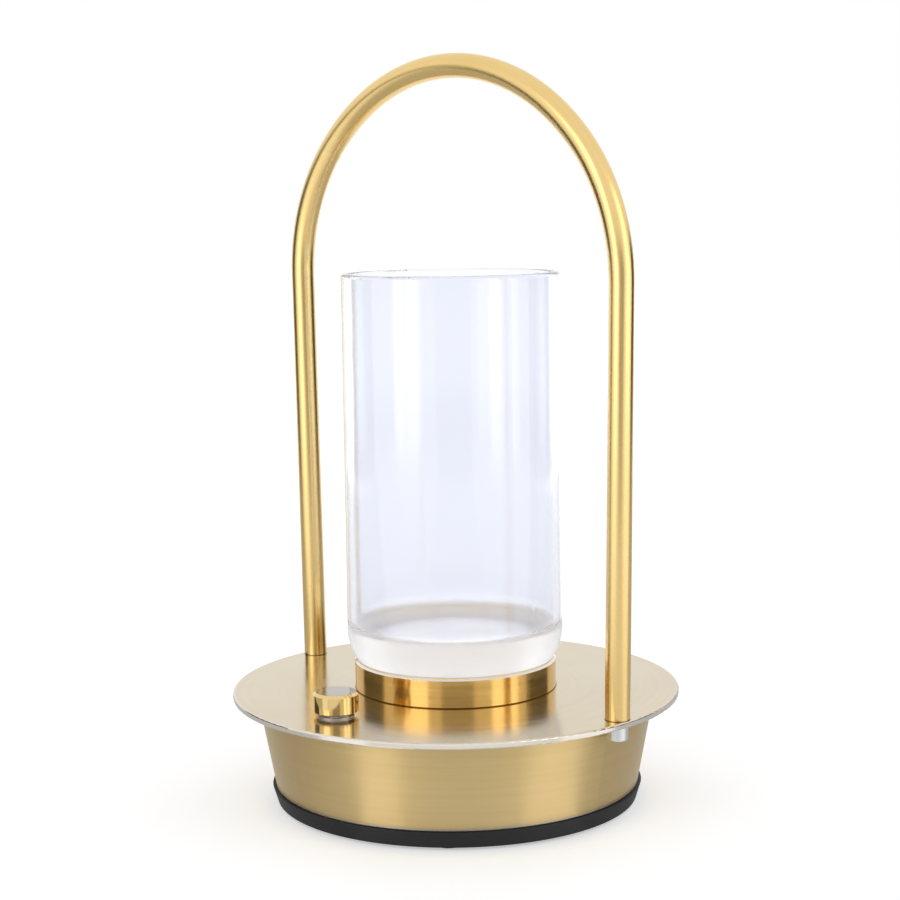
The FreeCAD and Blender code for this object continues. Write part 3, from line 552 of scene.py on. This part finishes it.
# %% [markdown]
# ## Steel
# The screws of the handle show their nickel plating beside the brass: it is
# whiter and bluer than chrome looks. The parts inside are zinc-plated sheet
# and screws, duller and spangled. A Voronoi pattern gives the spangle.

# %% Nickel and zinc
def plated(name, colour, second, rough_low, rough_high, spangle):
    finish, tree, shader = new_finish(name)
    position = place_on(tree)
    cells = tree.nodes.new("ShaderNodeTexVoronoi")
    cells.inputs["Scale"].default_value = spangle
    tree.links.new(position, cells.inputs["Vector"])
    tree.links.new(mix_of(tree, cells.outputs["Distance"], colour, second), shader.inputs["Base Color"])
    patches = noise_of(tree, position, spangle * 3.0, 3.0)
    tree.links.new(range_of(tree, patches, 0.3, 0.7, rough_low, rough_high), shader.inputs["Roughness"])
    set_plain(shader, Metallic=1.0)
    bump_of(tree, shader, noise_of(tree, position, 3000.0, 3.0), 0.000006, 0.4)
    return finish


nickel = plated("nickel_plate", (0.68, 0.69, 0.70, 1.0), (0.76, 0.77, 0.78, 1.0), 0.28, 0.38, 900.0)
give(nickel, "handle_screws", "plate_studs", "battery_contacts", "charging_socket")
dull_nickel = plated("dull_nickel", (0.46, 0.42, 0.40, 1.0), (0.56, 0.51, 0.48, 1.0), 0.42, 0.55, 900.0)
give(dull_nickel, "encoder_washer", "encoder_nut")
zinc = plated("zinc_plate", (0.50, 0.52, 0.54, 1.0), (0.66, 0.68, 0.70, 1.0), 0.32, 0.46, 260.0)
give(zinc, "stand_offs", "bottom_plate", "bottom_screws", "handle_inserts", "collar_screws",
     "led_board_screws", "holder_screws", "board_screws", "encoder_shaft", "encoder_bushing", "switch_dome")

# %% [markdown]
# ## The snap dome
# Under the knob's plunger a thin spring dome is pushed flat at each press and
# pops back. The engineered dome is rigid, so a new one of the same size stands
# for it: the cap of a sphere, cut off level and given the sheet's thickness.

# %% Dome of sheet
dome_low, dome_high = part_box("switch_dome")
dome_rise = dome_high.z - dome_low.z
dome_reach = (dome_high.x - dome_low.x) / 2
dome_sphere = (dome_reach ** 2 + dome_rise ** 2) / (2 * dome_rise)
dome_middle = (dome_low + dome_high) / 2
dome_skin = 0.0002
bpy.ops.object.select_all(action="DESELECT")
bpy.ops.mesh.primitive_uv_sphere_add(segments=96, ring_count=128, radius=dome_sphere)
snap_dome = bpy.context.object
snap_dome.name = "snap_dome"
bpy.ops.object.mode_set(mode="EDIT")
bpy.ops.mesh.select_all(action="SELECT")
bpy.ops.mesh.bisect(plane_co=(0.0, 0.0, dome_sphere - dome_rise), plane_no=(0.0, 0.0, 1.0), clear_inner=True)
bpy.ops.object.mode_set(mode="OBJECT")
for vertex in snap_dome.data.vertices:
    vertex.co = vertex.co + Vector((dome_middle.x, dome_middle.y, dome_high.z - dome_sphere))
skin = snap_dome.modifiers.new("skin", "SOLIDIFY")
skin.thickness = dome_skin
skin.offset = -1.0
bpy.ops.object.modifier_apply(modifier="skin")
bpy.ops.object.shade_smooth()
snap_dome.data.materials.append(zinc)
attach(snap_dome, "lamp")
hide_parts("switch_dome")
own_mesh(snap_dome)
print("snap dome", round(dome_rise * 1000, 2), "mm high, vertices", len(snap_dome.data.vertices))

# %% [markdown]
# ## Plastics and electronics
# The parts in the drum show when the lamp is opened. Each is a moulded or
# coated part with its own grain: a glass-filled black housing is coarser than a
# shrink sleeve, and the board's green mask is glossy with the glass weave
# showing faintly through.

# %% Plastics, sleeve, board mask and leads
black_plastic = skinned("black_plastic", (0.022, 0.022, 0.024, 1.0), (0.035, 0.035, 0.037, 1.0), 0.38, 0.52,
                        1800.0, 0.00002)
give(black_plastic, "encoder_body", "battery_holder", "socket_bezel", "driver_chip")
ferrite = skinned("dark_ferrite", (0.035, 0.034, 0.033, 1.0), (0.06, 0.058, 0.055, 1.0), 0.6, 0.75, 3000.0,
                  0.00003)
give(ferrite, "power_coil")
white_plastic = skinned("white_plastic", (0.78, 0.77, 0.73, 1.0), (0.83, 0.82, 0.79, 1.0), 0.35, 0.45,
                        1800.0, 0.00001)
give(white_plastic, "switch_plunger", "board_spacers", "lead_plugs")
sleeve = skinned("cell_sleeve", (0.03, 0.13, 0.32, 1.0), (0.04, 0.16, 0.37, 1.0), 0.2, 0.3, 700.0, 0.00002)
give(sleeve, "battery_cells")
board_mask = skinned("green_board_mask", (0.008, 0.10, 0.04, 1.0), (0.012, 0.14, 0.055, 1.0), 0.22, 0.34,
                     2200.0, 0.00001)
give(board_mask, "control_board")
lead_sheath = skinned("lead_sheath", (0.42, 0.012, 0.01, 1.0), (0.5, 0.02, 0.015, 1.0), 0.4, 0.52, 1600.0,
                      0.00001)
give(lead_sheath, "led_lead", "encoder_lead", "battery_lead")

# %% [markdown]
# ## Floor
# The lamp stands on a plain white table that runs out of the picture. Its
# colour does most of the work. A white table lit at a plain level renders a
# little grey, and greyer with distance from the lights, so what the camera, the
# metal and the glass see of it gets some light of its own, more far out. The
# shadow under the rubber ring stays.

# %% White table
bpy.ops.object.select_all(action="DESELECT")
bpy.ops.mesh.primitive_plane_add(size=8.0, location=(0.0, 0.0, -0.0002))
table = bpy.context.object
table.name = "white_table"
table_white, table_tree, table_shader = new_finish("table_white")
set_plain(table_shader, Base_Color=(0.82, 0.82, 0.82, 1.0), Roughness=0.9, Specular_IOR_Level=0.0)
seen = table_tree.nodes.new("ShaderNodeLightPath")
seen_at_all = math_of(table_tree, "MAXIMUM", seen.outputs["Is Camera Ray"], math_of(
    table_tree, "MAXIMUM", seen.outputs["Is Glossy Ray"], seen.outputs["Is Transmission Ray"]))
table_x, table_y = parts_of(table_tree, place_on(table_tree))[:2]
far_out = math_of(table_tree, "SQRT", math_of(
    table_tree, "ADD", math_of(table_tree, "MULTIPLY", table_x, table_x),
    math_of(table_tree, "MULTIPLY", table_y, table_y)))
glow_near, glow_far = 0.46, 0.68
own_light = range_of(table_tree, far_out, 0.2, 1.6, glow_near, glow_far)
table_shader.inputs["Emission Color"].default_value = (1.0, 1.0, 1.0, 1.0)
table_tree.links.new(math_of(table_tree, "MULTIPLY", seen_at_all, own_light),
                     table_shader.inputs["Emission Strength"])
table.data.materials.append(table_white)
print("table", table.dimensions.x, "m wide")

# %% [markdown]
# ## Room and lights
# The room is white where the camera, the metal or the glass looks at it, and a
# little dimmer as a source of light. Tall soft lights stand to the left and
# right of the camera, because polished tubes and drums show lights as upright
# bands. Two more behind the lamp only fill the far side. Between the lights lie
# and stand grey cards. Brass in an all-white room looks like paint: the dark
# bands beside the bright ones make it metal. The cards are seen in reflections
# alone and cast no shadow.

# %% White room
room = bpy.data.worlds.new("white_room")
bpy.context.scene.world = room
room.use_nodes = True
room_tree = room.node_tree
room_tree.nodes.clear()
room_seen = room_tree.nodes.new("ShaderNodeLightPath")
room_share = math_of(room_tree, "MAXIMUM", room_seen.outputs["Is Camera Ray"], math_of(
    room_tree, "MAXIMUM", room_seen.outputs["Is Glossy Ray"], room_seen.outputs["Is Transmission Ray"]))
as_light = room_tree.nodes.new("ShaderNodeBackground")
as_light.inputs["Color"].default_value = (0.97, 0.98, 1.0, 1.0)
as_light.inputs["Strength"].default_value = 0.6
as_seen = room_tree.nodes.new("ShaderNodeBackground")
as_seen.inputs["Color"].default_value = (1.0, 1.0, 1.0, 1.0)
as_seen.inputs["Strength"].default_value = 1.0
room_mix = room_tree.nodes.new("ShaderNodeMixShader")
room_tree.links.new(room_share, room_mix.inputs[0])
room_tree.links.new(as_light.outputs[0], room_mix.inputs[1])
room_tree.links.new(as_seen.outputs[0], room_mix.inputs[2])
room_out = room_tree.nodes.new("ShaderNodeOutputWorld")
room_tree.links.new(room_mix.outputs[0], room_out.inputs["Surface"])

# %% Soft lights
camera_side = math.degrees(camera_heading)
light_distance = 0.95
light_height = 0.9


def round_place(degrees, distance, height):
    heading = math.radians(camera_side + degrees)
    return Vector((distance * math.sin(heading), -distance * math.cos(heading), height))


def soft_light(name, degrees, width, radiance, in_metal=True):
    spot = round_place(degrees, light_distance, light_height / 2)
    bpy.ops.object.light_add(type="AREA", location=spot)
    light = bpy.context.object
    light.name = name
    light.data.shape = "RECTANGLE"
    light.data.size = width
    light.data.size_y = light_height
    light.data.energy = radiance * math.pi * width * light_height
    light.rotation_euler = (Vector((0.0, 0.0, spot.z)) - spot).to_track_quat("-Z", "Y").to_euler()
    light.visible_glossy = in_metal
    print(name, "watts", round(light.data.energy, 2))


soft_light("soft_light_left", -46.0, 0.50, 1.15)
soft_light("soft_light_right", 48.0, 0.24, 1.15)
soft_light("soft_light_far_right", 67.0, 0.22, 1.15)
soft_light("fill_light_back_left", -140.0, 0.34, 1.2, in_metal=False)
soft_light("fill_light_back_right", 140.0, 0.34, 1.2, in_metal=False)

# %% Grey cards
card_distance = 0.85
card_top = 0.32
floor_gap = 0.0005


def card(name, corners, grey):
    bpy.ops.object.select_all(action="DESELECT")
    bpy.ops.mesh.primitive_circle_add(vertices=len(corners), fill_type="NGON")
    sheet = bpy.context.object
    sheet.name = name
    for vertex, corner in zip(sheet.data.vertices, corners):
        vertex.co = corner
    finish, tree, shader = new_finish(name)
    set_plain(shader, Base_Color=(0.0, 0.0, 0.0, 1.0), Roughness=1.0, Specular_IOR_Level=0.0,
              Emission_Color=(1.0, 1.0, 1.0, 1.0), Emission_Strength=grey)
    sheet.data.materials.append(finish)
    sheet.visible_camera = False
    sheet.visible_diffuse = False
    sheet.visible_transmission = False
    sheet.visible_shadow = False


def standing_card(name, first, last, grey):
    card(name, [round_place(first, card_distance, 0.0), round_place(last, card_distance, 0.0),
                round_place(last, card_distance, card_top),
                round_place(first, card_distance, card_top)], grey)


def lying_card(name, outline, grey):
    there = [round_place(first, distance, floor_gap) for distance, first, last in outline]
    back = [round_place(last, distance, floor_gap) for distance, first, last in reversed(outline)]
    card(name, there + back, grey)


standing_card("front_card", -16.0, 20.0, 0.38)
standing_card("left_card", -128.0, -88.0, 0.02)
standing_card("right_card", 86.0, 128.0, 0.02)
lying_card("front_floor_card", [(0.064, -17.0, 20.0), (0.12, -26.0, 32.0), (0.24, -40.0, 46.0)],
           0.72)
lying_card("far_floor_card", [(0.24, -40.0, 46.0), (card_distance, -16.0, 20.0)], 0.9)
lying_card("left_floor_card", [(0.064, -150.0, -32.0), (0.12, -150.0, -45.0), (0.24, -150.0, -62.0),
                               (card_distance, -150.0, -84.0)], 0.54)
lying_card("right_floor_card", [(0.064, 42.0, 150.0), (0.12, 58.0, 150.0), (0.24, 74.0, 150.0),
                                (card_distance, 86.0, 150.0)], 0.54)

# %% [markdown]
# ## Plain colour rendering
# The Standard view shows colours as they were written. Light that enters the
# thick glass foot turns round in it many times before it leaves. With few
# bounces allowed it would be lost there, and clear glass would look sooty, so
# more bounces are allowed.

# %% Set the view and the bounces
bpy.context.scene.view_settings.view_transform = "Standard"
bpy.context.scene.cycles.max_bounces = 64
bpy.context.scene.cycles.glossy_bounces = 56
bpy.context.scene.cycles.transmission_bounces = 20
bpy.context.view_layer.update()
